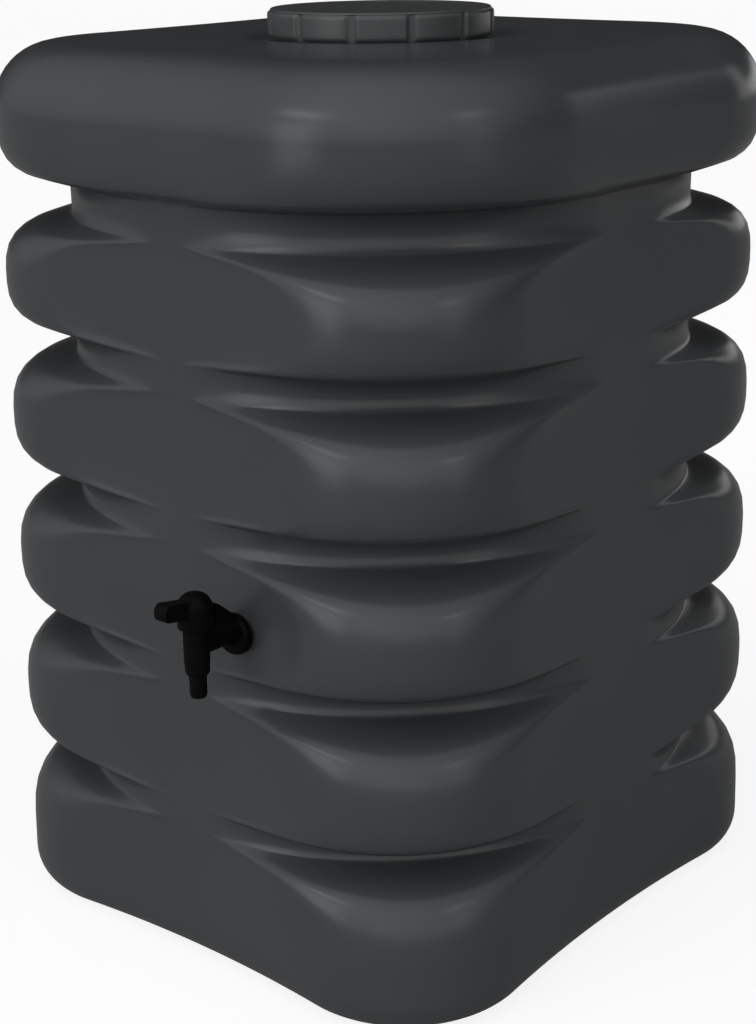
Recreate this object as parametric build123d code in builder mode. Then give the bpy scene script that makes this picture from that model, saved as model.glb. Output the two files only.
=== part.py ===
from build123d import *
from math import cos, radians, sin, sqrt
import os

os.makedirs("parts", exist_ok=True)

# Millimetres. +Z is up, the floor is z = 0 and the tank's axis is x = y = 0.
# The tap is on the front, which faces -Y.

# Moulded body: heights of the ribs, from the bottom one to the top one
rib_bottoms = [0.0, 170.0, 318.0, 466.0, 610.0, 751.0]
rib_tops = [146.0, 290.0, 434.0, 572.0, 709.0, 874.0]
crown_foot = rib_bottoms[-1]
deck_top = rib_tops[-1]

# Moulded body: plan of the plain ribs, of the crown (the top rib) and of the grooves.
# A dip is how far the middle of a hollow side lies inside its two corners.
rib_half_x = 304.0
rib_half_y = 318.0
rib_corner = 132.0
rib_dip = 10.0
draft = 0.0135          # how much ribs and grooves draw in for each mm of height
crown_half_x = 316.0
crown_half_y = 322.0
crown_corner = 188.0
crown_dip = 4.0
groove_corner = 266.0   # in the middle of a side the groove runs out level with the ribs
groove_dip = 0.6
wall = 5.0
foot_inward = 33.0      # roll from the bottom rib to the floor
foot_height = 36.0
rim_radius = 60.0       # roll from the crown over to the deck

# Moulded body: how square a rib is below and above its middle
under_squareness = 3.5
shoulder_squareness = 2.5

# Moulded body: steps of the outer and the inner skin, as shares of half a rib and as degrees
outer_under = [1.0, 0.9, 0.6]
outer_shoulder = [0.5, 0.85, 1.0]
outer_turns = [0.0, 30.0, 60.0, 90.0]
inner_under = [1.0, 0.7]
inner_shoulder = [0.7, 1.0]
inner_turns = [0.0, 45.0, 90.0]

# Round well in the deck, the filler neck in it, its seal and the screw lid
well_radius = 126.0
well_depth = 4.0
neck_radius = 94.0
neck_wall = 6.0
neck_height = 16.0      # above the deck
seal_thickness = 3.0
seat_gap = 0.3          # clearance of a loose piece on its seat
lid_radius = 110.0
lid_clearance = 5.0     # between the neck and the lid's skirt
lid_top_thickness = 6.0
lid_foot_gap = 1.0
grip_count = 12
grip_depth = 3.5
grip_gap = 4.0
grip_height = 18.0

# Tap on the front
tap_x = 80.0
tap_z = 367.0
tap_seat_radius = 22.0
inlet_radius = 13.2
inlet_bore = 9.0
inlet_clearance = 0.3
inlet_inside = 22.0
washer_radius = 18.0
washer_thickness = 3.0
flange_radius = 19.5
flange_thickness = 9.0
flange_bevel = 1.5
tap_reach = 55.0        # from the tap's seat to the barrel's axis
pipe_radius = 12.5
barrel_radius = 13.0
barrel_above = 21.0
barrel_below = 13.0
spout_radius = 11.3
spout_length = 12.5
spout_bevel = 5.5
tail_radius = 8.0
tail_length = 19.5
tail_rounding = 1.5
water_bore = 5.0
stem_radius = 8.0
stem_clearance = 0.05
stem_length = 15.0
cap_radius = 16.2
cap_height = 33.0
cap_rounding = 11.0
lever_length = 45.0
lever_width = 15.0
lever_thickness = 17.0
lever_foot = 10.0       # height of the lever's underside above the cap's foot
lever_tilt = 10.0


def plan_edges(half_x, half_y, corner, dip):
    """Draw a rounded rectangle whose four sides are hollow arcs, tangent to its corners."""
    centre_x = half_x - corner
    centre_y = half_y - corner
    # The side arc touches both corner circles, so the two radii add up to the span below.
    span_x = (centre_y**2 + dip**2) / (2 * dip)
    span_y = (centre_x**2 + dip**2) / (2 * dip)
    lean_x = centre_y / span_x * corner
    lean_y = centre_x / span_y * corner
    ends_x = (centre_x + sqrt(corner**2 - lean_x**2), centre_y - lean_x)
    ends_y = (centre_x - lean_y, centre_y + sqrt(corner**2 - lean_y**2))
    # The corner arc passes through the middle of the angle between its two ends.
    mid = Vector(ends_x[0] + ends_y[0], ends_x[1] + ends_y[1]) / 2
    mid = mid - Vector(centre_x, centre_y)
    mid = Vector(centre_x, centre_y) + mid.normalized() * corner
    for side_x, side_y in ((1, 1), (-1, 1), (-1, -1), (1, -1)):
        near = (side_x * ends_x[0], side_y * ends_x[1])
        far = (side_x * ends_y[0], side_y * ends_y[1])
        middle = (side_x * mid.X, side_y * mid.Y)
        if side_x * side_y > 0:
            ThreePointArc(near, middle, far)
            ThreePointArc(far, (0, side_y * (half_y - dip)), (-far[0], far[1]))
        else:
            ThreePointArc(far, middle, near)
            ThreePointArc(near, (side_x * (half_x - dip), 0), (near[0], -near[1]))


def rib_plan(height):
    drawn_in = draft * height
    return rib_half_x - drawn_in, rib_half_y - drawn_in, rib_corner, rib_dip


def groove_plan(height):
    """The groove's corners are cut far back, and the middles of its sides are the rib's."""
    half_x, half_y, corner, dip = rib_plan(height)
    return half_x - dip + groove_dip, half_y - dip + groove_dip, groove_corner, groove_dip


def crown_plan(height):
    return crown_half_x, crown_half_y, crown_corner, crown_dip


def inset(plan, depth):
    half_x, half_y, corner, dip = plan
    return half_x - depth, half_y - depth, corner - depth, dip


def swollen(plan_at, height, reach, squareness):
    """Plan between the groove's and the rib's; reach is 0 at mid rib and 1 at its edge."""
    share = (1 - reach**squareness) ** (1 / squareness)
    pairs = zip(groove_plan(height), plan_at(height))
    return [low + share * (high - low) for low, high in pairs]


def foot_levels(depth, turns):
    """Roll of the bottom rib, from the floor up, this deep in the wall."""
    levels = []
    for turn in turns:
        height = depth + (foot_height - depth) * (1 - cos(radians(turn)))
        inward = depth + foot_inward * (1 - sin(radians(turn)))
        levels.append((height, inset(rib_plan(0), inward)))
    return levels


def rim_levels(depth, turns):
    """Roll of the crown, from its side over to the deck, this deep in the wall."""
    levels = []
    for turn in turns:
        height = deck_top - rim_radius + (rim_radius - depth) * sin(radians(turn))
        inward = depth + rim_radius * (1 - cos(radians(turn)))
        levels.append((height, inset(crown_plan(height), inward)))
    return levels


def body_levels(depth, under, shoulder, turns):
    """Heights and plans up the moulding, on the surface that lies this deep in its wall."""
    levels = foot_levels(depth, turns)
    for low, high in zip(rib_bottoms, rib_tops):
        middle = (low + high) / 2
        half = (high - low) / 2 - depth
        plan_at = crown_plan if low == crown_foot else rib_plan
        if low > 0:
            for reach in under:
                height = middle - reach * half
                plan = swollen(plan_at, height, reach, under_squareness)
                levels.append((height, inset(plan, depth)))
        if high < deck_top:
            for reach in shoulder:
                height = middle + reach * half
                plan = swollen(plan_at, height, reach, shoulder_squareness)
                levels.append((height, inset(plan, depth)))
    return levels + rim_levels(depth, turns)


def plan_face(height, plan):
    with BuildSketch(Plane.XY.offset(height)) as section:
        with BuildLine():
            plan_edges(*plan)
        make_face()
    return section.sketch


def plan_faces(levels):
    return [plan_face(height, plan) for height, plan in levels]


def front_face(x, height):
    """Distance of a plain rib's front face from the tank's middle."""
    half_x, half_y, corner, dip = rib_plan(height)
    arc = ((half_x - corner) ** 2 + dip**2) / (2 * dip) - corner
    return half_y - dip + arc - sqrt(arc**2 - x**2)


tap_seat = front_face(tap_x + tap_seat_radius, tap_z)


def along_tap(distance):
    """Plane square to the tap's pipe, this far out from the tap's seat, facing out."""
    return Plane.XZ.offset(tap_seat + distance).shift_origin((tap_x, -tap_seat - distance, tap_z))


outer_levels = body_levels(0, outer_under, outer_shoulder, outer_turns)
inner_levels = body_levels(wall, inner_under, inner_shoulder, inner_turns)
floor_plan = inner_levels[0][1]
deck_plan = inner_levels[-1][1]
deck_under = deck_top - wall
cavity_levels = [(-wall, floor_plan)] + inner_levels + [(deck_top + wall, deck_plan)]

# The shell of the body, open at the floor and at the deck
with BuildPart() as shell:
    loft(plan_faces(outer_levels), ruled=True)
    loft(plan_faces(cavity_levels), ruled=True, mode=Mode.SUBTRACT)
    # A flat round seat is moulded on the rib for the tap, and drilled.
    with BuildSketch(along_tap(-wall)):
        Circle(tap_seat_radius)
    extrude(amount=wall)
    with BuildSketch(along_tap(-inlet_inside)):
        Circle(inlet_radius + inlet_clearance)
    extrude(amount=2 * inlet_inside, mode=Mode.SUBTRACT)

# The shell's wall, as four sides and two halves of each corner
cut_x = rib_half_x - rib_corner
cut_y = rib_half_y - rib_corner
beyond = 200.0
reach_x = cut_x + beyond
reach_y = cut_y + beyond
wall_outlines = {
    "wall_front": [(-cut_x, -cut_y), (cut_x, -cut_y), (cut_x, -reach_y), (-cut_x, -reach_y)],
    "wall_back": [(-cut_x, cut_y), (cut_x, cut_y), (cut_x, reach_y), (-cut_x, reach_y)],
    "wall_right": [(cut_x, -cut_y), (reach_x, -cut_y), (reach_x, cut_y), (cut_x, cut_y)],
    "wall_left": [(-cut_x, -cut_y), (-reach_x, -cut_y), (-reach_x, cut_y), (-cut_x, cut_y)],
}
corner_sides = {"front_right": (1, -1), "front_left": (-1, -1), "back_right": (1, 1), "back_left": (-1, 1)}
for corner_name, (side_x, side_y) in corner_sides.items():
    inner = (side_x * cut_x, side_y * cut_y)
    outer = (side_x * reach_x, side_y * reach_y)
    wall_outlines["corner_" + corner_name + "_end"] = [inner, (inner[0], outer[1]), outer]
    wall_outlines["corner_" + corner_name + "_side"] = [inner, outer, (outer[0], inner[1])]

for wall_name, outline in wall_outlines.items():
    with BuildPart() as wall_piece:
        add(shell.part)
        with BuildSketch(Plane.XY.offset(-wall)):
            with BuildLine():
                Polyline(*outline, close=True)
            make_face()
        extrude(amount=deck_top + 2 * wall, mode=Mode.INTERSECT)
    wall_piece.part.label = wall_name
    export_step(wall_piece.part, "parts/" + wall_name + ".step")

# Floor of the body
with BuildPart() as body_floor:
    extrude(plan_face(0, floor_plan), amount=wall)
body_floor.part.label = "body_floor"
export_step(body_floor.part, "parts/body_floor.step")

# Deck of the body, with a shallow well pressed into it and the hole for the filler neck
well_floor = deck_top - well_depth
well_under = deck_under - well_depth
with BuildPart() as body_deck:
    extrude(plan_face(deck_under, deck_plan), amount=wall)
    with BuildSketch(Plane.XY.offset(well_under)):
        Circle(well_radius + wall)
    extrude(amount=wall)
    with BuildSketch(Plane.XY.offset(well_floor)):
        Circle(well_radius)
    extrude(amount=wall, mode=Mode.SUBTRACT)
    with BuildSketch(Plane.XY.offset(well_under)):
        Circle(neck_radius)
    extrude(amount=2 * wall, mode=Mode.SUBTRACT)
body_deck.part.label = "body_deck"
export_step(body_deck.part, "parts/body_deck.step")


def ring_face(height, outside, inside):
    """Flat ring around the tank's axis."""
    with BuildSketch(Plane.XY.offset(height)) as face:
        Circle(outside)
        Circle(inside, mode=Mode.SUBTRACT)
    return face.sketch


# Filler neck
neck_top = deck_top + neck_height
with BuildPart() as filler_neck:
    extrude(ring_face(well_under, neck_radius, neck_radius - neck_wall), amount=neck_top - well_under)
filler_neck.part.label = "filler_neck"
export_step(filler_neck.part, "parts/filler_neck.step")

# Seal between the neck and the lid
seal_bottom = neck_top + seat_gap
with BuildPart() as lid_seal:
    extrude(ring_face(seal_bottom, neck_radius, neck_radius - neck_wall), amount=seal_thickness)
lid_seal.part.label = "lid_seal"
export_step(lid_seal.part, "parts/lid_seal.step")

# Screw lid: top disc, skirt and grip pads
lid_under = seal_bottom + seal_thickness + seat_gap
lid_foot = well_floor + lid_foot_gap
skirt_inside = neck_radius + lid_clearance
skirt_outside = lid_radius - grip_depth
with BuildPart() as lid_top:
    with BuildSketch(Plane.XY.offset(lid_under)):
        Circle(lid_radius)
    extrude(amount=lid_top_thickness)
    fillet(lid_top.edges().group_by(Axis.Z)[-1], lid_top_thickness / 2)
lid_top.part.label = "lid_top"
export_step(lid_top.part, "parts/lid_top.step")

with BuildPart() as lid_skirt:
    extrude(ring_face(lid_foot, skirt_outside, skirt_inside), amount=lid_under - lid_foot)
lid_skirt.part.label = "lid_skirt"
export_step(lid_skirt.part, "parts/lid_skirt.step")

with BuildPart() as lid_grips:
    extrude(ring_face(lid_under - grip_height, lid_radius, skirt_outside), amount=grip_height)
    with PolarLocations(lid_radius, grip_count):
        with Locations((0, 0, lid_under)):
            Box(lid_radius, grip_gap, 4 * grip_height, mode=Mode.SUBTRACT)
lid_grips.part.label = "lid_grips"
export_step(lid_grips.part, "parts/lid_grips.step")


def pipe_face(distance, outside, inside):
    """Flat ring around the tap's pipe, this far out from the tap's seat."""
    with BuildSketch(along_tap(distance)) as face:
        Circle(outside)
        Circle(inside, mode=Mode.SUBTRACT)
    return face.sketch


# Washer, flange nut and threaded inlet of the tap
flange_start = washer_thickness
flange_end = flange_start + flange_thickness
loose_radius = inlet_radius + inlet_clearance
with BuildPart() as tap_washer:
    extrude(pipe_face(0, washer_radius, loose_radius), amount=washer_thickness)
tap_washer.part.label = "tap_washer"
export_step(tap_washer.part, "parts/tap_washer.step")

with BuildPart() as tap_flange:
    extrude(pipe_face(flange_start, flange_radius, loose_radius), amount=flange_thickness)
    front_edges = tap_flange.edges().filter_by(GeomType.CIRCLE).group_by(Axis.Y)[0]
    chamfer(front_edges.sort_by(SortBy.RADIUS)[-1], flange_bevel)
tap_flange.part.label = "tap_flange"
export_step(tap_flange.part, "parts/tap_flange.step")

with BuildPart() as tap_inlet:
    extrude(pipe_face(-inlet_inside, inlet_radius, inlet_bore), amount=inlet_inside + flange_end)
tap_inlet.part.label = "tap_inlet"
export_step(tap_inlet.part, "parts/tap_inlet.step")

# Body of the tap: a pipe into an upright barrel
barrel_y = -tap_seat - tap_reach
barrel_foot = tap_z - barrel_below
barrel_top = tap_z + barrel_above


def upright(height):
    """Level plane on the axis of the tap's barrel."""
    return Plane.XY.offset(height).shift_origin((tap_x, barrel_y, height))


with BuildPart() as tap_body:
    with BuildSketch(upright(barrel_foot)):
        Circle(barrel_radius)
    extrude(amount=barrel_top - barrel_foot)
    with BuildSketch(along_tap(flange_end)):
        Circle(pipe_radius)
    extrude(amount=tap_reach - flange_end)
    with BuildSketch(upright(barrel_top)):
        Circle(stem_radius + stem_clearance)
    extrude(amount=-stem_length - seat_gap, mode=Mode.SUBTRACT)
    with BuildSketch(along_tap(flange_end)):
        Circle(water_bore)
    extrude(amount=tap_reach - flange_end, mode=Mode.SUBTRACT)
    with BuildSketch(upright(barrel_foot)):
        Circle(water_bore)
    extrude(amount=tap_z - barrel_foot, mode=Mode.SUBTRACT)
tap_body.part.label = "tap_body"
export_step(tap_body.part, "parts/tap_body.step")

# Spout and hose tail
spout_foot = barrel_foot - spout_length
tail_foot = spout_foot - tail_length
with BuildPart() as tap_spout:
    with BuildSketch(upright(spout_foot)):
        Circle(spout_radius)
        Circle(water_bore, mode=Mode.SUBTRACT)
    extrude(amount=spout_length)
    foot_edges = tap_spout.edges().filter_by(GeomType.CIRCLE).group_by(Axis.Z)[0]
    chamfer(foot_edges.sort_by(SortBy.RADIUS)[-1], spout_bevel, spout_radius - tail_radius)
tap_spout.part.label = "tap_spout"
export_step(tap_spout.part, "parts/tap_spout.step")

with BuildPart() as hose_tail:
    with BuildSketch(upright(tail_foot)):
        Circle(tail_radius)
        Circle(water_bore, mode=Mode.SUBTRACT)
    extrude(amount=tail_length)
    foot_edges = hose_tail.edges().filter_by(GeomType.CIRCLE).group_by(Axis.Z)[0]
    fillet(foot_edges.sort_by(SortBy.RADIUS)[-1], tail_rounding)
hose_tail.part.label = "hose_tail"
export_step(hose_tail.part, "parts/hose_tail.step")

# Turning stem and handle of the tap; the lever points out from the tank when shut
cap_foot = barrel_top + seat_gap
with BuildPart() as tap_stem:
    with BuildSketch(upright(barrel_top - stem_length)):
        Circle(stem_radius)
    extrude(amount=stem_length + seat_gap)
tap_stem.part.label = "tap_stem"
export_step(tap_stem.part, "parts/tap_stem.step")

# The lever leaves the cap's side and climbs a little towards its tip.
lever_plane = upright(cap_foot + lever_foot).rotated((-lever_tilt, 0, 0))
with BuildPart() as tap_handle:
    with BuildSketch(upright(cap_foot)):
        Circle(cap_radius)
    extrude(amount=cap_height)
    fillet(tap_handle.edges().group_by(Axis.Z)[-1], cap_rounding)
    with BuildSketch(lever_plane):
        SlotOverall(2 * lever_length, lever_width, rotation=90)
        with Locations((0, lever_length)):
            Rectangle(2 * lever_length, 2 * lever_length, mode=Mode.SUBTRACT)
    extrude(amount=lever_thickness)
tap_handle.part.label = "tap_handle"
export_step(tap_handle.part, "parts/tap_handle.step")
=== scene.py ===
from math import cos, pi, radians, sin

import bpy
import numpy as np
from mathutils import Matrix, Vector


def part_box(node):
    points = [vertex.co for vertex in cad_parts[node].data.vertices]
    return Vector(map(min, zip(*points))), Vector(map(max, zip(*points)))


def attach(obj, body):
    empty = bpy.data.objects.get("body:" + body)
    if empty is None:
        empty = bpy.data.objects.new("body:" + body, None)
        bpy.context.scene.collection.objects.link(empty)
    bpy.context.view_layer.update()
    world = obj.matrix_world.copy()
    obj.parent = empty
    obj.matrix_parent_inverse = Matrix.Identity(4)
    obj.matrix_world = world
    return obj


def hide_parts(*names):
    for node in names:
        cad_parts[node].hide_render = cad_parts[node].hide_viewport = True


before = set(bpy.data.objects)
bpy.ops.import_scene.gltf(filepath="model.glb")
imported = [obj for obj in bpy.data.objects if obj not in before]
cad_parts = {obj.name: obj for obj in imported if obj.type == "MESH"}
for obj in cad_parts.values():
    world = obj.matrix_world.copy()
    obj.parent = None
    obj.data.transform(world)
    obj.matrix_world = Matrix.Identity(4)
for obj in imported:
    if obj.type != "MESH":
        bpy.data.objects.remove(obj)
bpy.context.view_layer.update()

# The tank moulding: one hollow shell of anthracite polyethylene, about 5 mm thick.
# It is blown in one piece, with six ribs and five grooves that keep the tall sides from
# bulging. The grooves are deep at the corners and run out in the middle of each side.
RIB_BOTTOMS = [0.0, 0.1715, 0.3195, 0.466, 0.6085, 0.751]
RIB_TOPS = [0.1438, 0.2885, 0.431, 0.5728, 0.709, 0.874]
DECK_TOP = RIB_TOPS[-1]
WALL = 0.005
# A plan is the tank's half width in x and in y, its corner radius, and how far the
# middle of a side lies inside its two corners.
RIB_PLAN = np.array([0.304, 0.318, 0.130, 0.010])
CROWN_PLAN = np.array([0.316, 0.322, 0.188, 0.004])
GROOVE_CORNER = 0.264
GROOVE_DIP = 0.0006
DRAFT = 0.0135
FOOT_INWARD = 0.033
FOOT_HEIGHT = 0.036
RIM_RADIUS = 0.060
UNDER_SQUARENESS = 3.6
SHOULDER_SQUARENESS = 2.7
SOFTNESS = 0.005
CORNER_STEPS = 44
SIDE_STEPS = 20


def tank_plan(plan):
    """Points round the tank at one height: four hollow sides, tangent to round corners."""
    half_x, half_y, corner, dip = plan
    centre = np.array([half_x - corner, half_y - corner])
    span = (centre[::-1] ** 2 + dip**2) / (2 * dip)
    lean_x, lean_y = np.arcsin(centre[::-1] / span)
    points = []
    for quarter in range(4):
        turn = quarter * pi / 2
        swap = quarter % 2
        first_lean, last_lean = (lean_x, lean_y) if swap == 0 else (lean_y, lean_x)
        mirror = np.array([(1, 1), (-1, 1), (-1, -1), (1, -1)][quarter])
        angles = np.linspace(turn - first_lean, turn + pi / 2 + last_lean, CORNER_STEPS,
                             endpoint=False)
        points += [mirror * centre + corner * np.array([cos(a), sin(a)]) for a in angles]
        # The side that follows is an arc about a point outside the tank.
        ahead = np.array([cos(turn + pi / 2), sin(turn + pi / 2)])
        along = np.array([-ahead[1], ahead[0]])
        half = half_y if swap == 0 else half_x
        arc = (span[1] if swap == 0 else span[0]) - corner
        for angle in np.linspace(-last_lean, last_lean, SIDE_STEPS, endpoint=False):
            points.append(ahead * (half - dip + arc - arc * cos(angle)) + along * arc * sin(angle))
    return np.array(points)


def rib_plan(height):
    return RIB_PLAN - DRAFT * height * np.array([1, 1, 0, 0])


def groove_plan(height):
    """Cut far back at the corners, and level with the ribs in the middle of each side."""
    half_x, half_y, _, dip = rib_plan(height)
    back = dip - GROOVE_DIP
    return np.array([half_x - back, half_y - back, GROOVE_CORNER, GROOVE_DIP])


def sharp_share(height, deep):
    """How far the skin stands out from the groove to the rib: 0 to 1."""
    for low, high in zip(RIB_BOTTOMS, RIB_TOPS):
        low, high = low + deep, high - deep
        if low < height < high:
            reach = (2 * height - low - high) / (high - low)
            if reach < 0 and low == deep or reach > 0 and high == DECK_TOP - deep:
                return 1.0
            squareness = UNDER_SQUARENESS if reach < 0 else SHOULDER_SQUARENESS
            return (1 - abs(reach) ** squareness) ** (1 / squareness)
    return 0.0


def share(height, deep):
    """The same, with the fillets that a mould has: an average over a little height."""
    return sum(sharp_share(height + step * SOFTNESS / 4, deep) for step in range(-4, 5)) / 9


def plan_at(height, deep):
    """The tank's plan at a height, on the surface that lies this deep in the plastic."""
    crown = height > (RIB_TOPS[-2] + RIB_BOTTOMS[-1]) / 2
    plan = CROWN_PLAN if crown else rib_plan(height)
    foot, rim = FOOT_HEIGHT - height, height - (DECK_TOP - RIM_RADIUS)
    stand = 1.0 if foot > 0 or rim > 0 else share(height, deep)
    plan = groove_plan(height) + stand * (plan - groove_plan(height))
    inward = deep
    if foot > 0:
        inward += FOOT_INWARD * (1 - (1 - min(foot / (FOOT_HEIGHT - deep), 1.0) ** 2) ** 0.5)
    if rim > 0:
        inward += RIM_RADIUS * (1 - (1 - min(rim / (RIM_RADIUS - deep), 1.0) ** 2) ** 0.5)
    return plan - inward * np.array([1, 1, 1, 0])


# Rings of the mesh near the edge of a rib, as heights above it or below it.
OUTSIDE_STEPS = [-0.0045, -0.003, -0.0015, 0, 0.0015, 0.003, 0.0045, 0.007, 0.011, 0.017, 0.026,
                 0.038, 0.052]
INSIDE_STEPS = [-0.004, 0, 0.004, 0.012, 0.026, 0.045]


def tank_levels(deep, edge_steps, turn_steps):
    """Rings up the tank's wall, on the surface that lies this deep in the plastic."""
    heights = []
    for low, high in zip(RIB_BOTTOMS, RIB_TOPS):
        heights.append((low + high) / 2)
        if low > 0:
            heights += [low + deep + step for step in edge_steps]
        if high < DECK_TOP:
            heights += [high - deep - step for step in edge_steps]
    for step in range(turn_steps + 1):
        turn = step / turn_steps * pi / 2
        heights.append(deep + (FOOT_HEIGHT - deep) * (1 - cos(turn)))
        heights.append(DECK_TOP - RIM_RADIUS + (RIM_RADIUS - deep) * sin(turn))
    return [(tank_plan(plan_at(height, deep)), height) for height in sorted(heights)]


def made(name, points, faces, smooth=False):
    """A piece made from its points and faces, with flat or smooth shading."""
    mesh = bpy.data.meshes.new(name)
    mesh.from_pydata(points, [], faces)
    mesh.polygons.foreach_set("use_smooth", [smooth] * len(faces))
    mesh.update()
    piece = bpy.data.objects.new(name, mesh)
    bpy.context.collection.objects.link(piece)
    return piece


def skin(name, rings, closed=False):
    """A mesh through rings of points that match one to one, capped or joined at its ends."""
    count = len(rings[0][0])
    points = [(x, y, height) for ring, height in rings for x, y in ring]
    faces = []
    for row in range(len(rings) - (0 if closed else 1)):
        below, above = row * count, (row + 1) % len(rings) * count
        for i in range(count):
            j = (i + 1) % count
            faces.append((below + i, below + j, above + j, above + i))
    if not closed:
        faces.append(tuple(reversed(range(count))))
        faces.append(tuple(range((len(rings) - 1) * count, len(rings) * count)))
    return made(name, points, faces, smooth=True)


# The deck and the filler neck belong to the same moulding. The deck sinks a little round the
# neck, so that the lid's foot lies below the deck's edge.
NECK_RADIUS = 0.094
NECK_WALL = 0.006
NECK_TOP = DECK_TOP + 0.016
WELL_RADIUS = 0.126
WELL_DEPTH = 0.0065
WELL_EASE = 0.006


def round_ring(radius, like):
    """A circle whose points lie in the same directions as those of the given ring."""
    return like / np.linalg.norm(like, axis=1)[:, None] * radius


def deck_rings(edge, height, outward):
    """Rings from the deck's edge in to the neck, or back out on the underside."""
    rings = []
    for way in (0.25, 0.5, 0.75, 1.0):
        ring = edge * (1 - way) + round_ring(WELL_RADIUS + WELL_EASE, edge) * way
        rings.append((ring, height))
    for ease, drop in ((0.5, 0.15), (0.0, 0.5), (-0.5, 0.85), (-1.0, 1.0)):
        ring = round_ring(WELL_RADIUS + ease * WELL_EASE, edge)
        rings.append((ring, height - drop * WELL_DEPTH))
    return rings[::-1] if outward else rings


outside = tank_levels(0, OUTSIDE_STEPS, 12)
inside = tank_levels(WALL, INSIDE_STEPS, 6)
edge_out, edge_in = outside[-1][0], inside[-1][0]
neck = [
    (NECK_RADIUS + 0.003, DECK_TOP - WELL_DEPTH),
    (NECK_RADIUS + 0.0008, DECK_TOP - WELL_DEPTH + 0.0008),
    (NECK_RADIUS, DECK_TOP - WELL_DEPTH + 0.003),
    (NECK_RADIUS, NECK_TOP - 0.001),
    (NECK_RADIUS - 0.0003, NECK_TOP - 0.0003),
    (NECK_RADIUS - 0.001, NECK_TOP),
    (NECK_RADIUS - NECK_WALL + 0.001, NECK_TOP),
    (NECK_RADIUS - NECK_WALL + 0.0003, NECK_TOP - 0.0003),
    (NECK_RADIUS - NECK_WALL, NECK_TOP - 0.001),
    (NECK_RADIUS - NECK_WALL, DECK_TOP - WALL - WELL_DEPTH),
]
rings = outside + deck_rings(edge_out, DECK_TOP, False)
rings += [(round_ring(radius, edge_out), height) for radius, height in neck]
rings += deck_rings(edge_in, DECK_TOP - WALL, True) + inside[::-1]
tank = skin("tank_moulding", rings)


def plastic(name, colour, roughness, grain, depth, mottle=0.08):
    """Moulded plastic: a fine grain, and a slow mottling of its colour and gloss."""
    material = bpy.data.materials.new(name)
    material.use_nodes = True
    nodes, links = material.node_tree.nodes, material.node_tree.links
    shader = nodes["Principled BSDF"]
    place = nodes.new("ShaderNodeTexCoord")
    slow = nodes.new("ShaderNodeTexNoise")
    slow.inputs["Scale"].default_value = 9.0
    slow.inputs["Detail"].default_value = 4.0
    fine = nodes.new("ShaderNodeTexNoise")
    fine.inputs["Scale"].default_value = grain
    fine.inputs["Detail"].default_value = 3.0
    tint = nodes.new("ShaderNodeMix")
    tint.data_type = "RGBA"
    tint.inputs["A"].default_value = (*[value * (1 - mottle) for value in colour], 1)
    tint.inputs["B"].default_value = (*[value * (1 + mottle) for value in colour], 1)
    gloss = nodes.new("ShaderNodeMapRange")
    gloss.inputs["To Min"].default_value = roughness - 0.05
    gloss.inputs["To Max"].default_value = roughness + 0.05
    bump = nodes.new("ShaderNodeBump")
    bump.inputs["Strength"].default_value = 0.35
    bump.inputs["Distance"].default_value = depth
    for noise in (slow, fine):
        links.new(place.outputs["Object"], noise.inputs["Vector"])
    links.new(slow.outputs["Fac"], tint.inputs["Factor"])
    links.new(tint.outputs["Result"], shader.inputs["Base Color"])
    links.new(slow.outputs["Fac"], gloss.inputs["Value"])
    links.new(gloss.outputs["Result"], shader.inputs["Roughness"])
    links.new(fine.outputs["Fac"], bump.inputs["Height"])
    links.new(bump.outputs["Normal"], shader.inputs["Normal"])
    return material


anthracite = plastic("anthracite polyethylene", (0.052, 0.055, 0.058), 0.25, 900, 0.0001)
anthracite.node_tree.nodes["Principled BSDF"].inputs["Specular IOR Level"].default_value = 0.35
tank.data.materials.append(anthracite)
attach(tank, "tank")
WALL_NODES = [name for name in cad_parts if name.startswith(("wall_", "corner_"))]
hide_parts(*WALL_NODES, "body_floor", "body_deck", "filler_neck")

# The thread on the filler neck: a single blunt ridge, moulded with the neck, that winds
# once and a half round it. The lid's own ridge runs under it.
THREAD_PITCH = 0.006
THREAD_STEPS = 120


def thread(name, radius, bottom, turns, rise, width):
    """A ridge that winds round the tank's axis and fades at its ends; it rises in or out."""
    steps = int(turns * THREAD_STEPS)
    section = np.array([(-1, -0.15), (-0.45, 1), (0.45, 1), (1, -0.15)])
    points, faces = [], []
    for step in range(steps + 1):
        angle = step / THREAD_STEPS * 2 * pi
        fade = min(1.0, step / 12, (steps - step) / 12)
        for across, out in section:
            reach = radius + rise * (out * fade if out > 0 else out)
            height = bottom + THREAD_PITCH * angle / (2 * pi) + across * width / 2
            points.append((reach * cos(angle), reach * sin(angle), height))
    for step in range(steps):
        for i in range(4):
            j = (i + 1) % 4
            faces.append((4 * step + i, 4 * step + j, 4 * step + 4 + j, 4 * step + 4 + i))
    faces += [(3, 2, 1, 0), tuple(4 * steps + i for i in range(4))]
    if rise < 0:
        faces = [tuple(reversed(face)) for face in faces]
    return made(name, points, faces)


neck_thread = thread("neck_thread", NECK_RADIUS, DECK_TOP + 0.003, 1.5, 0.0022, 0.0032)
neck_thread.data.materials.append(anthracite)
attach(neck_thread, "tank")

# The lid's seal: a flat ring of black rubber, as wide as the neck's rim. It lies in the lid,
# which presses it on the neck when it is screwed down.
SEAL_LOW, SEAL_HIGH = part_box("lid_seal")[0][2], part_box("lid_seal")[1][2]


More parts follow.
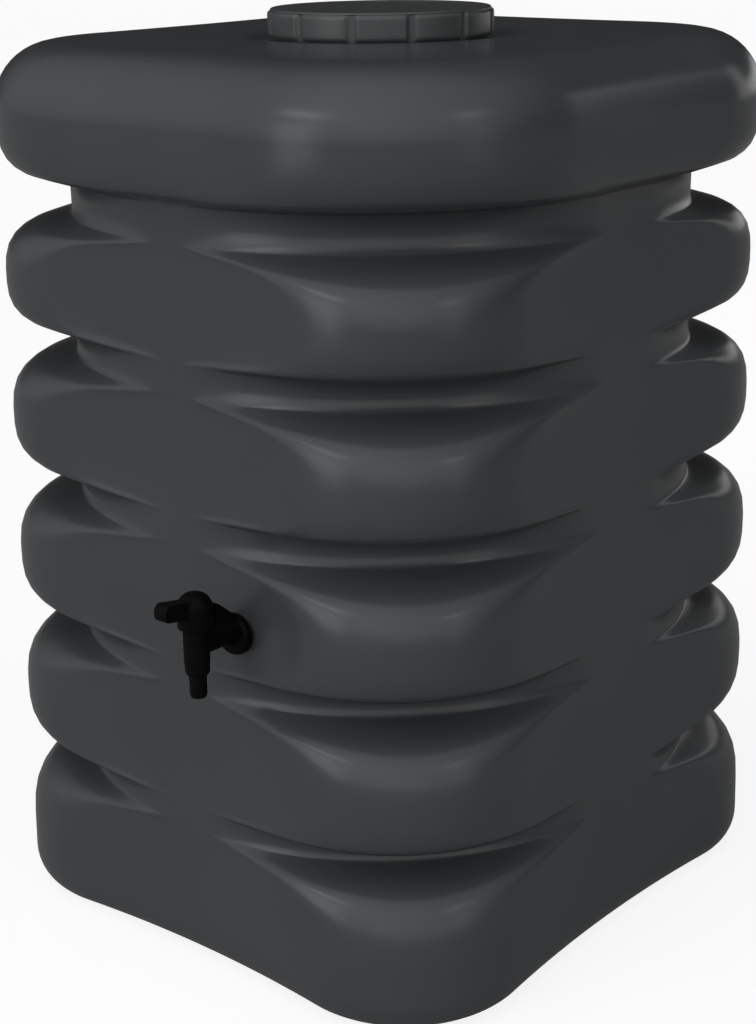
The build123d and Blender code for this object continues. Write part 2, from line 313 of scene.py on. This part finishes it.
def turned(name, outline, place, steps=96, upright=True):
    """A round piece turned from the outline of its section, as radius and place on its axis."""
    angles = np.linspace(0, 2 * pi, steps, endpoint=False)
    circle = np.column_stack([np.cos(angles), np.sin(angles)])
    rings = [(circle * radius, distance) for radius, distance in outline]
    piece = skin(name, rings, closed=True)
    if not upright:
        piece.data.transform(Matrix.Rotation(pi / 2, 4, "X"))
    piece.data.transform(Matrix.Translation(place))
    return piece


def eased(corners, radius, steps=5):
    """The outline with each of its corners rounded."""
    corners = [np.array(corner, float) for corner in corners]
    outline = []
    befores, afters = corners[-1:] + corners[:-1], corners[1:] + corners[:1]
    for before, corner, after in zip(befores, corners, afters):
        back, ahead = np.linalg.norm(before - corner), np.linalg.norm(after - corner)
        reach = min(radius, back * 0.45, ahead * 0.45)
        start = corner + (before - corner) / back * reach
        end = corner + (after - corner) / ahead * reach
        for step in range(steps + 1):
            t = step / steps
            outline.append(tuple((1 - t) ** 2 * start + 2 * t * (1 - t) * corner + t**2 * end))
    return outline


seal_outline = eased([
    (NECK_RADIUS, SEAL_LOW), (NECK_RADIUS, SEAL_HIGH),
    (NECK_RADIUS - NECK_WALL, SEAL_HIGH), (NECK_RADIUS - NECK_WALL, SEAL_LOW),
], 0.0008)
seal = turned("lid_seal_ring", seal_outline, (0, 0, 0), steps=160)
rubber = plastic("black rubber", (0.012, 0.012, 0.012), 0.62, 1500, 0.0002)
seal.data.materials.append(rubber)
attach(seal, "lid_seal")
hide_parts("lid_seal")

# The screw lid: one moulding of the same grey plastic, with a thin rim round its top and
# twelve raised grip pads down its side. Its skirt goes over the neck, and a ridge inside it
# runs under the neck's thread.
LID_RADIUS = 0.110
LID_SKIRT = 0.1065
LID_INSIDE = 0.099
LID_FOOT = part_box("lid_skirt")[0][2]
LID_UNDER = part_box("lid_top")[0][2]
LID_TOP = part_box("lid_top")[1][2]
GRIP_COUNT = 12
GRIP_GAP = radians(3.6)
GRIP_TURN = radians(4.8)
PAD_STEPS = 40
PAD_EASE = 0.004


def rounded_step(distance, soft):
    """0 outside, 1 inside, with a rounded edge this wide."""
    t = min(max(distance / soft, 0.0), 1.0)
    return (1 - (1 - t) ** 2) ** 0.5


def lid_ring(height, low, high):
    """Points round the lid's side at this height, out on a pad and in between two pads."""
    ring = []
    pitch = 2 * pi / GRIP_COUNT
    for step in range(GRIP_COUNT * PAD_STEPS):
        angle = step / (GRIP_COUNT * PAD_STEPS) * 2 * pi
        from_middle = abs((angle + GRIP_TURN) % pitch - pitch / 2)
        from_edge = (pitch / 2 - from_middle - GRIP_GAP / 2) * LID_RADIUS
        level = min(height - low, high - height)
        stand = rounded_step(from_edge, PAD_EASE) * rounded_step(level, PAD_EASE)
        radius = LID_SKIRT + (LID_RADIUS - LID_SKIRT - 0.0004) * stand
        ring.append((radius * cos(angle), radius * sin(angle)))
    return np.array(ring)


def lid_circle(radius):
    angles = np.linspace(0, 2 * pi, GRIP_COUNT * PAD_STEPS, endpoint=False)
    return np.column_stack([np.cos(angles), np.sin(angles)]) * radius


PAD_LOW = LID_FOOT + 0.002
PAD_HIGH = LID_TOP - 0.0022
side_heights = np.linspace(PAD_LOW, PAD_HIGH, 26)
# The lid's underside, from its middle out, and the inside and the foot of its skirt.
lid_rings = [(lid_circle(radius), height) for radius, height in (
    (0.001, LID_UNDER), (0.03, LID_UNDER), (0.06, LID_UNDER), (LID_INSIDE - 0.001, LID_UNDER),
    (LID_INSIDE - 0.0003, LID_UNDER - 0.0003), (LID_INSIDE, LID_UNDER - 0.001),
    (LID_INSIDE, LID_FOOT + 0.001), (LID_INSIDE + 0.001, LID_FOOT),
    (LID_SKIRT - 0.001, LID_FOOT), (LID_SKIRT - 0.0002, LID_FOOT + 0.0003),
)]
lid_rings += [(lid_ring(height, PAD_LOW, PAD_HIGH), height) for height in side_heights]
for step in range(9):
    turn = step / 8 * pi / 2
    radius = LID_SKIRT + 0.0005 - 0.0024 * (1 - cos(turn))
    lid_rings.append((lid_circle(radius), PAD_HIGH + (LID_TOP - PAD_HIGH) * sin(turn)))
# The lid's top inside its rim, as pairs of radius and depth.
LID_FACE = [(0.0950, 0.0), (0.0935, 0.0002), (0.0920, 0.0010), (0.0905, 0.0012), (0.05, 0.0010),
            (0.012, 0.0008), (0.001, 0.0008)]
lid_rings += [(lid_circle(radius), LID_TOP - drop) for radius, drop in LID_FACE]
lid = skin("screw_lid", lid_rings)
lid_plastic = plastic("lid plastic", (0.053, 0.056, 0.058), 0.34, 1100, 0.0002)
lid.data.materials.append(lid_plastic)
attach(lid, "lid")
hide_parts("lid_top", "lid_skirt", "lid_grips")
lid_thread = thread("lid_thread", LID_INSIDE, LID_FOOT + 0.002, 1.2, -0.0018, 0.0030)
lid_thread.data.materials.append(lid_plastic)
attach(lid_thread, "lid")

# The tap's seat: a flat round pad, moulded on the rib with the tank, so that the washer has a
# level face to seal on. The hole for the tap goes through its middle.
washer_low, washer_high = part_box("tap_washer")
TAP_X = (washer_low[0] + washer_high[0]) / 2
TAP_Z = (washer_low[2] + washer_high[2]) / 2
TAP_SEAT = washer_high[1]
SEAT_RADIUS = 0.0168
SEAT_DEPTH = 0.006
TAP_HOLE = 0.0135
seat_outline = eased([
    (TAP_HOLE, 0), (SEAT_RADIUS - 0.001, 0), (SEAT_RADIUS + 0.002, -SEAT_DEPTH),
    (TAP_HOLE, -SEAT_DEPTH),
], 0.001)
tap_seat = turned("tap_seat", seat_outline, (TAP_X, TAP_SEAT, TAP_Z), upright=False)
tap_seat.data.materials.append(anthracite)
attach(tap_seat, "tank")

# The washer and the flange: a black rubber ring, drawn tight by the tap's round flange of
# black plastic, and the inlet behind it, a short pipe that goes through the wall.
WASHER_THICKNESS = washer_high[1] - washer_low[1]
WASHER_RADIUS = 0.0178
FLANGE_THICKNESS = 0.009
FLANGE_EDGE = 0.006
FLANGE_RADIUS = 0.0195
FLANGE_FACE = 0.0178
FLANGE_BORE = 0.013
INLET_RADIUS = 0.0132
THREAD_ROOT = INLET_RADIUS - 0.0012
INLET_BORE = 0.009
INLET_INSIDE = 0.022
washer_outline = eased([
    (TAP_HOLE, 0.0), (WASHER_RADIUS, 0.0), (WASHER_RADIUS, WASHER_THICKNESS),
    (TAP_HOLE, WASHER_THICKNESS),
], 0.0009)
washer = turned("tap_washer_ring", washer_outline, (TAP_X, TAP_SEAT, TAP_Z), upright=False)
washer.data.materials.append(rubber)
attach(washer, "tank")
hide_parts("tap_washer")

black = plastic("black tap plastic", (0.0010, 0.0011, 0.0012), 0.55, 1500, 0.00015)
black.node_tree.nodes["Principled BSDF"].inputs["Specular IOR Level"].default_value = 0.08
FLANGE_END = WASHER_THICKNESS + FLANGE_THICKNESS
flange_outline = eased([
    (FLANGE_BORE, WASHER_THICKNESS), (FLANGE_RADIUS, WASHER_THICKNESS),
    (FLANGE_RADIUS, WASHER_THICKNESS + FLANGE_EDGE), (FLANGE_FACE, FLANGE_END),
    (FLANGE_BORE - 0.001, FLANGE_END),
], 0.0012)
flange = turned("tap_flange_ring", flange_outline, (TAP_X, TAP_SEAT, TAP_Z), upright=False)
inlet_outline = eased([
    (INLET_BORE, -INLET_INSIDE), (THREAD_ROOT, -INLET_INSIDE),
    (THREAD_ROOT, FLANGE_END), (INLET_BORE, FLANGE_END),
], 0.0006)
inlet = turned("tap_inlet_pipe", inlet_outline, (TAP_X, TAP_SEAT, TAP_Z), upright=False)
for piece, node in ((flange, "tap_flange"), (inlet, "tap_inlet")):
    piece.data.materials.append(black)
    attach(piece, "tank")
    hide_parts(node)

# The inlet's thread: fine ridges round the black pipe, moulded with it, on the stretch that
# stands inside the tank.
THREAD_FINE = 0.0018
THREAD_CREST = INLET_RADIUS - 0.0002
THREAD_BACK = INLET_RADIUS - 0.0020
thread_outline = [(THREAD_BACK, 0.0)]
for turn_number in range(11):
    start = 0.0005 + turn_number * THREAD_FINE
    thread_outline += [
        (THREAD_ROOT, -start), (THREAD_CREST, -start - 0.4 * THREAD_FINE),
        (THREAD_CREST, -start - 0.6 * THREAD_FINE), (THREAD_ROOT, -start - THREAD_FINE),
    ]
thread_outline.append((THREAD_BACK, -start - THREAD_FINE))
inlet_thread = turned("tap_inlet_thread", thread_outline[::-1], (TAP_X, TAP_SEAT, TAP_Z),
                      upright=False)
inlet_thread.data.materials.append(black)
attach(inlet_thread, "tank")

# The tap's body: an upright barrel for the valve, joined to the flange by a deep neck, with a
# sloping housing behind the handle and a collar below that carries the spout. It is one
# moulding of black plastic.
tail_low, tail_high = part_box("hose_tail")
BARREL_Y = (tail_low[1] + tail_high[1]) / 2
BARREL_RADIUS = 0.0118
BARREL_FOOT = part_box("tap_body")[0][2]
BARREL_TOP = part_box("tap_body")[1][2]
SPOUT_RADIUS = 0.0113
SPOUT_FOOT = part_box("tap_spout")[0][2]
TAIL_RADIUS = 0.008
HOUSING_HALF_WIDTH = 0.0085
# A turned piece closes this near to its axis.
AXIS = 0.0001
VOXEL = 0.0006
RIGHT, BACK, UP = Vector((1, 0, 0)), Vector((0, 1, 0)), Vector((0, 0, 1))


def melted(name, parts, voxel, passes):
    """Closed pieces run together into one, with small fillets where they meet."""
    points, faces = [], []
    for part in parts:
        start = len(points)
        points += [vertex.co.copy() for vertex in part.data.vertices]
        faces += [tuple(start + i for i in face.vertices) for face in part.data.polygons]
        bpy.data.objects.remove(part)
    piece = made(name, points, faces)
    fuse = piece.modifiers.new("fuse", "REMESH")
    fuse.mode = "VOXEL"
    fuse.voxel_size = voxel
    relax = piece.modifiers.new("relax", "SMOOTH")
    relax.factor = 0.5
    relax.iterations = passes
    shaped = piece.evaluated_get(bpy.context.evaluated_depsgraph_get())
    fused = bpy.data.meshes.new_from_object(shaped)
    piece.modifiers.clear()
    piece.data = fused
    fused.polygons.foreach_set("use_smooth", [True] * len(fused.polygons))
    return piece


def bar(name, outline, across, over, ends):
    """A solid bar: an outline in two directions, drawn from one end's place to the other's."""
    points = [across * u + over * v + end for end in ends for u, v in outline]
    count = len(outline)
    faces = [(i, (i + 1) % count, count + (i + 1) % count, count + i) for i in range(count)]
    faces += [tuple(reversed(range(count))), tuple(range(count, 2 * count))]
    return made(name, points, faces)


def oval(half_width, low, high):
    """Outline of an upright oval: straight flanks and a half circle at each end."""
    angles = np.linspace(0, pi, 25)
    top = [(half_width * cos(a), high - half_width + half_width * sin(a)) for a in angles]
    return top + [(-half_width * cos(a), low + half_width - half_width * sin(a)) for a in angles]


barrel = turned("barrel", [
    (AXIS, BARREL_FOOT), (BARREL_RADIUS - 0.001, BARREL_FOOT),
    (BARREL_RADIUS, BARREL_FOOT + 0.001), (BARREL_RADIUS, BARREL_TOP), (AXIS, BARREL_TOP),
], (TAP_X, BARREL_Y, 0))
neck_outline = oval(BARREL_RADIUS, BARREL_FOOT - TAP_Z + 0.007, BARREL_TOP - TAP_Z - 0.001)
neck_end = Vector((TAP_X, TAP_SEAT - FLANGE_END + 0.004, TAP_Z))
neck_bar = bar("neck", neck_outline, RIGHT, UP, (neck_end, Vector((TAP_X, BARREL_Y, TAP_Z))))
# The housing's side, as distance behind the barrel's middle and height over its top.
housing_side = eased([
    (0.0180, -0.008), (0.0180, 0.0190), (0.0215, 0.0180), (0.0400, 0.0030), (0.0440, 0.0),
    (0.0440, -0.008),
], 0.0025)
housing_foot = Vector((TAP_X, BARREL_Y, BARREL_TOP))
housing_reach = RIGHT * HOUSING_HALF_WIDTH
housing_ends = (housing_foot - housing_reach, housing_foot + housing_reach)
housing = bar("housing", housing_side, BACK, UP, housing_ends)
collar = turned("collar", [
    (AXIS, SPOUT_FOOT), (TAIL_RADIUS, SPOUT_FOOT), (SPOUT_RADIUS, SPOUT_FOOT + 0.0050),
    (SPOUT_RADIUS, BARREL_FOOT + 0.004), (AXIS, BARREL_FOOT + 0.004),
], (TAP_X, BARREL_Y, 0))
tap_body = melted("tap_body_moulding", [barrel, neck_bar, housing, collar], VOXEL, 8)
tap_body.data.materials.append(black)
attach(tap_body, "tank")
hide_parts("tap_body", "tap_spout")

# The hose tail: a smooth hollow pipe of the same black plastic, moulded below the collar. Its
# end is rounded, and the garden hose is pushed over it from below.
TAIL_BORE = 0.005
tail_outline = eased([
    (TAIL_BORE, tail_low[2] + 0.0006), (TAIL_BORE + 0.0008, tail_low[2]),
    (TAIL_RADIUS - 0.0012, tail_low[2]), (TAIL_RADIUS, tail_low[2] + 0.0024),
    (TAIL_RADIUS, SPOUT_FOOT + 0.001), (TAIL_BORE, SPOUT_FOOT + 0.001),
], 0.0012)
tail = turned("hose_tail_pipe", tail_outline, (TAP_X, BARREL_Y, 0))
tail.data.materials.append(black)
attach(tail, "tank")
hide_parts("hose_tail")

# The handle: a domed cap and a lever, moulded in one from black plastic and pressed on the
# valve's stem. The lever points straight out when the tap is shut, and turns a quarter turn.
stem_low, stem_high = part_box("tap_stem")
STEM_RADIUS = 0.008
STEM_TOP = stem_high[2] + 0.002
stem_outline = eased([
    (AXIS, stem_low[2]), (STEM_RADIUS, stem_low[2]), (STEM_RADIUS, STEM_TOP), (AXIS, STEM_TOP),
], 0.0006)
stem = turned("tap_stem_pin", stem_outline, (TAP_X, BARREL_Y, 0))
CAP_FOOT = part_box("tap_handle")[0][2]
CAP_HEIGHT = 0.033
CAP_RADIUS = 0.0162
CAP_SIDE = 0.018
LEVER_LENGTH = 0.0445
LEVER_HALF_WIDTH = 0.0076
LEVER_THICKNESS = 0.0160
LEVER_RISE = radians(10)
LEVER_FOOT = CAP_FOOT + 0.010
cap_outline = [(AXIS, CAP_FOOT), (CAP_RADIUS - 0.0008, CAP_FOOT), (CAP_RADIUS, CAP_FOOT + 0.0008)]
for step in range(13):
    turn = step / 12 * pi / 2
    height = CAP_FOOT + CAP_SIDE + (CAP_HEIGHT - CAP_SIDE) * sin(turn)
    cap_outline.append((CAP_RADIUS * cos(turn) ** 0.8 + AXIS, height))
cap = turned("cap", cap_outline, (TAP_X, BARREL_Y, 0))
lever_side = eased([
    (0.0, 0.0), (LEVER_LENGTH - 0.003, 0.0), (LEVER_LENGTH, 0.005), (LEVER_LENGTH, 0.012),
    (LEVER_LENGTH - 0.004, LEVER_THICKNESS), (0.0, LEVER_THICKNESS),
], 0.006)
along = Vector((0, -cos(LEVER_RISE), sin(LEVER_RISE)))
lever_root = Vector((TAP_X, BARREL_Y, LEVER_FOOT))
lever_reach = RIGHT * LEVER_HALF_WIDTH
lever_ends = (lever_root - lever_reach, lever_root + lever_reach)
lever = bar("lever", lever_side, along, along.cross(RIGHT), lever_ends)
handle = melted("tap_handle_moulding", [cap, lever], VOXEL, 12)
for piece, node in ((stem, "tap_stem"), (handle, "tap_handle")):
    piece.data.materials.append(black)
    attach(piece, "tap_handle")
    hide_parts(node)

# The floor is pale and matt. For the camera it is whitened to the background's white, and it
# keeps the tank's shadow. It throws no more light on the tank for that.
FLOOR_REACH = 40
floor_corners = [(-FLOOR_REACH, -FLOOR_REACH, 0), (FLOOR_REACH, -FLOOR_REACH, 0),
                 (FLOOR_REACH, FLOOR_REACH, 0), (-FLOOR_REACH, FLOOR_REACH, 0)]
floor = made("floor", floor_corners, [(0, 1, 2, 3)])
pale = bpy.data.materials.new("pale floor")
pale.use_nodes = True
nodes, links = pale.node_tree.nodes, pale.node_tree.links
paint = nodes["Principled BSDF"]
paint.inputs["Roughness"].default_value = 0.7
ray = nodes.new("ShaderNodeLightPath")
tone = nodes.new("ShaderNodeMix")
tone.data_type = "RGBA"
tone.inputs["A"].default_value = (0.34, 0.34, 0.34, 1)
tone.inputs["B"].default_value = (0.90, 0.90, 0.90, 1)
glow = nodes.new("ShaderNodeEmission")
glow.inputs["Strength"].default_value = 1.12
whiten = nodes.new("ShaderNodeMath")
whiten.operation = "MULTIPLY"
whiten.inputs[1].default_value = 0.75
blend = nodes.new("ShaderNodeMixShader")
links.new(ray.outputs["Is Camera Ray"], tone.inputs["Factor"])
links.new(tone.outputs["Result"], paint.inputs["Base Color"])
links.new(ray.outputs["Is Camera Ray"], whiten.inputs[0])
links.new(whiten.outputs["Value"], blend.inputs["Fac"])
links.new(paint.outputs["BSDF"], blend.inputs[1])
links.new(glow.outputs["Emission"], blend.inputs[2])
links.new(blend.outputs["Shader"], nodes["Material Output"].inputs["Surface"])
floor.data.materials.append(pale)

# The lamps only draw the highlights: two soft ones in front on the left, two weaker ones on
# the right, and two behind that light the far edges of the ribs.


def lamp(name, place, aim, width, height, power):
    data = bpy.data.lights.new(name, "AREA")
    data.shape = "RECTANGLE"
    data.size, data.size_y, data.energy = width, height, power
    light = bpy.data.objects.new(name, data)
    light.location = place
    light.rotation_euler = (Vector(aim) - Vector(place)).to_track_quat("-Z", "Y").to_euler()
    bpy.context.collection.objects.link(light)


lamp("left lamp", (-0.6, -3.0, 0.95), (-0.1, -0.3, 0.6), 1.2, 1.7, 9)
lamp("high left lamp", (-0.53, -2.85, 2.5), (0.1, -0.3, 0.6), 1.2, 0.4, 6)
lamp("right lamp", (3.0, -0.6, 0.95), (0.3, -0.1, 0.6), 0.8, 1.7, 1.8)
lamp("high right lamp", (2.95, -0.57, 2.5), (0.3, -0.1, 0.6), 0.8, 0.4, 2.5)
lamp("back lamp", (0.2, 3.3, 0.95), (0.3, 0.2, 0.6), 1.8, 0.5, 3)
lamp("right back lamp", (1.36, 2.95, 1.4), (0.3, 0.2, 0.6), 0.5, 1.5, 2.4)

# The world is bright in front and above the near corner, and dark behind, so that the curved
# edges stay as dark as they are in the photograph. The camera sees it white, and reflections
# don't, because white there makes every rounded edge of this plastic glare.
world = bpy.data.worlds.new("world")
bpy.context.scene.world = world
world.use_nodes = True
nodes, links = world.node_tree.nodes, world.node_tree.links
sky = nodes["Background"]
sky.inputs["Color"].default_value = (1, 1, 1, 1)
direction = nodes.new("ShaderNodeTexCoord")


def glow_from(towards, first, last, dark, bright):
    """The world's brightness, rising as a direction comes nearer to this one."""
    nearness = nodes.new("ShaderNodeVectorMath")
    nearness.operation = "DOT_PRODUCT"
    nearness.inputs[1].default_value = towards
    rise = nodes.new("ShaderNodeMapRange")
    rise.inputs["From Min"].default_value = first
    rise.inputs["From Max"].default_value = last
    rise.inputs["To Min"].default_value = dark
    rise.inputs["To Max"].default_value = bright
    links.new(direction.outputs["Generated"], nearness.inputs[0])
    links.new(nearness.outputs["Value"], rise.inputs["Value"])
    return rise.outputs["Result"]


both = nodes.new("ShaderNodeMath")
links.new(glow_from((0.0, -0.97, 0.24), -0.3, 1.0, 0.02, 0.91), both.inputs[0])
links.new(glow_from((0.50, -0.38, 0.78), 0.35, 0.8, 0.0, 0.40), both.inputs[1])
links.new(both.outputs["Value"], sky.inputs["Strength"])
white = nodes.new("ShaderNodeBackground")
white.inputs["Color"].default_value = (1, 1, 1, 1)
mix = nodes.new("ShaderNodeMixShader")
ray = nodes.new("ShaderNodeLightPath")
direct = nodes.new("ShaderNodeMath")
direct.operation = "MAXIMUM"
links.new(ray.outputs["Is Camera Ray"], direct.inputs[0])
links.new(ray.outputs["Is Transmission Ray"], direct.inputs[1])
links.new(direct.outputs["Value"], mix.inputs["Fac"])
links.new(sky.outputs["Background"], mix.inputs[1])
links.new(white.outputs["Background"], mix.inputs[2])
links.new(mix.outputs["Shader"], nodes["World Output"].inputs["Surface"])

# The camera, where the photograph was taken from: about 1.9 m from the tank's axis, round to
# the right of the tap and looking a little down. Colours are shown as they are written.
bpy.context.scene.view_settings.view_transform = "Standard"
camera_data = bpy.data.cameras.new("camera")
camera_data.lens = 67.44
camera_data.sensor_width = 36.0
camera = bpy.data.objects.new("camera", camera_data)
bpy.context.collection.objects.link(camera)
CAMERA_PLACE = Vector((1.2246, -1.4674, 1.0079))
CAMERA_YAW = 40.13
CAMERA_PITCH = -18.02
CAMERA_ROLL = -0.83
yaw = Matrix.Rotation(radians(CAMERA_YAW), 4, "Z")
pitch = Matrix.Rotation(radians(90 + CAMERA_PITCH), 4, "X")
roll = Matrix.Rotation(radians(CAMERA_ROLL), 4, "Z")
camera.matrix_world = Matrix.Translation(CAMERA_PLACE) @ (yaw @ pitch) @ roll
bpy.context.scene.camera = camera
